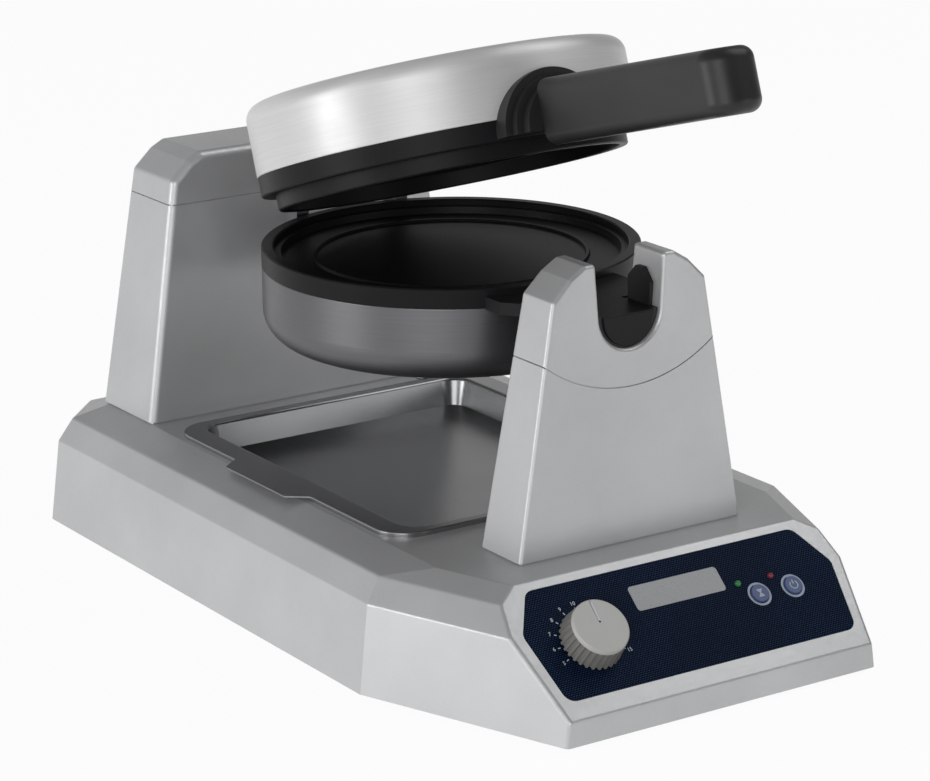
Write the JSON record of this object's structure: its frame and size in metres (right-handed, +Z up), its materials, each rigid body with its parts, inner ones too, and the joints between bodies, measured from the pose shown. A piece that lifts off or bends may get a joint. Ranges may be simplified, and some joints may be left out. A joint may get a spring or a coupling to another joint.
{
  "type": "hot bun press",
  "caption": "Countertop press with a hinged round heated head held between cast pillars over a lift-out drip tray, with a sloped timer panel.",
  "frame": {"origin": "on the bench under the centre of the round head", "axes": "+X to the operator's right, +Y to the rear, +Z up"},
  "size_m": [0.254, 0.4638, 0.3041],
  "materials": {
    "cast_paint": "satin silver-grey paint on castings",
    "nonstick": "satin black non-stick coat on cast aluminium",
    "band_steel": "brushed stainless sheet",
    "tray_steel": "polished stainless sheet",
    "grip": "charcoal heat-proof moulding",
    "liner": "dark low-friction sleeve",
    "overlay": "navy printed film",
    "knob": "light grey moulding",
    "button": "blue moulding",
    "ready_lens": "green lens",
    "power_lens": "red lens",
    "feet_rubber": "matt",
    "plate_steel": "plain zinc-coated sheet",
    "bracket_steel": "plain steel",
    "fastener": "zinc-coated",
    "element": "dull sheath",
    "sensor": "bright can",
    "wool": "mineral wool",
    "circuit_board": "green laminate",
    "component_case": "black case",
    "gland_plastic": "black moulding"
  },
  "bodies": {
    "base": {"base_housing": "cast_paint", "front_pillar": "cast_paint", "front_pillar_cap": "cast_paint", "rear_pillar": "cast_paint", "rear_pillar_cap": "cast_paint", "lower_plate": "nonstick", "lower_shell": "band_steel", "front_rest": "grip", "notch_liner": "liner", "control_panel": "overlay", "ready_led": "ready_lens", "power_led": "power_lens", "front_left_foot": "feet_rubber", "front_right_foot": "feet_rubber", "rear_left_foot": "feet_rubber", "rear_right_foot": "feet_rubber", "bottom_plate": "plate_steel", "hinge_bracket": "bracket_steel", "support_tube": "bracket_steel", "support_tube_nuts": "bracket_steel", "hinge_pins": "bracket_steel", "hinge_clips": "bracket_steel", "potentiometer_nut": "bracket_steel", "bottom_plate_screws": "fastener", "front_pillar_bolts": "fastener", "front_cap_screws": "fastener", "rear_pillar_bolts": "fastener", "rear_cap_screws": "fastener", "board_screws": "fastener", "lower_shell_screws": "fastener", "front_rest_screws": "fastener", "hinge_bracket_screws": "fastener", "lower_heater": "element", "lower_thermostat": "sensor", "lower_insulation": "wool", "control_board": "circuit_board", "power_board": "circuit_board", "start_switch": "component_case", "standby_switch": "component_case", "power_relay": "component_case", "transformer": "component_case", "terminal_block": "component_case", "timer_potentiometer": "component_case", "cord_gland": "gland_plastic", "gland_nut": "gland_plastic"},
    "lid": {"upper_shell": "band_steel", "upper_plate": "nonstick", "upper_heater": "element", "upper_thermostat": "sensor", "upper_insulation": "wool", "lid_collar": "grip", "handle": "grip", "handle_bolts": "fastener", "lid_hinge_bracket": "bracket_steel", "lid_hinge_screws": "fastener"},
    "timer_knob": {"timer_knob": "knob", "timer_shaft": "bracket_steel"},
    "start_button": {"start_button": "button"},
    "standby_button": {"standby_button": "button"},
    "drip_tray": {"drip_tray": "tray_steel"}
  },
  "joints": [
    {"name": "lid_hinge", "type": "hinge", "parent": "base", "child": "lid", "pos_m": [0, 0.0975, 0.1974], "axis": [-1, 0, 0], "range_deg": [-19.18, 75]},
    {"name": "timer_knob_turn", "type": "hinge", "parent": "base", "child": "timer_knob", "pos_m": [-0.056, -0.1947, 0.0385], "axis": [0, -0.6708, 0.7416], "range_deg": [-115, 115]},
    {"name": "start_press", "type": "slide", "parent": "base", "child": "start_button", "axis": [0, 0.6708, -0.7416], "range_m": [0, 0.0008], "stiffness_N_per_m": 1200, "springref_m": -0.0006},
    {"name": "standby_press", "type": "slide", "parent": "base", "child": "standby_button", "axis": [0, 0.6708, -0.7416], "range_m": [0, 0.0008], "stiffness_N_per_m": 1200, "springref_m": -0.0006},
    {"name": "tray_lift", "type": "slide", "parent": "base", "child": "drip_tray", "axis": [0, 0, 1], "range_m": [0, 0.04]}
  ]
}
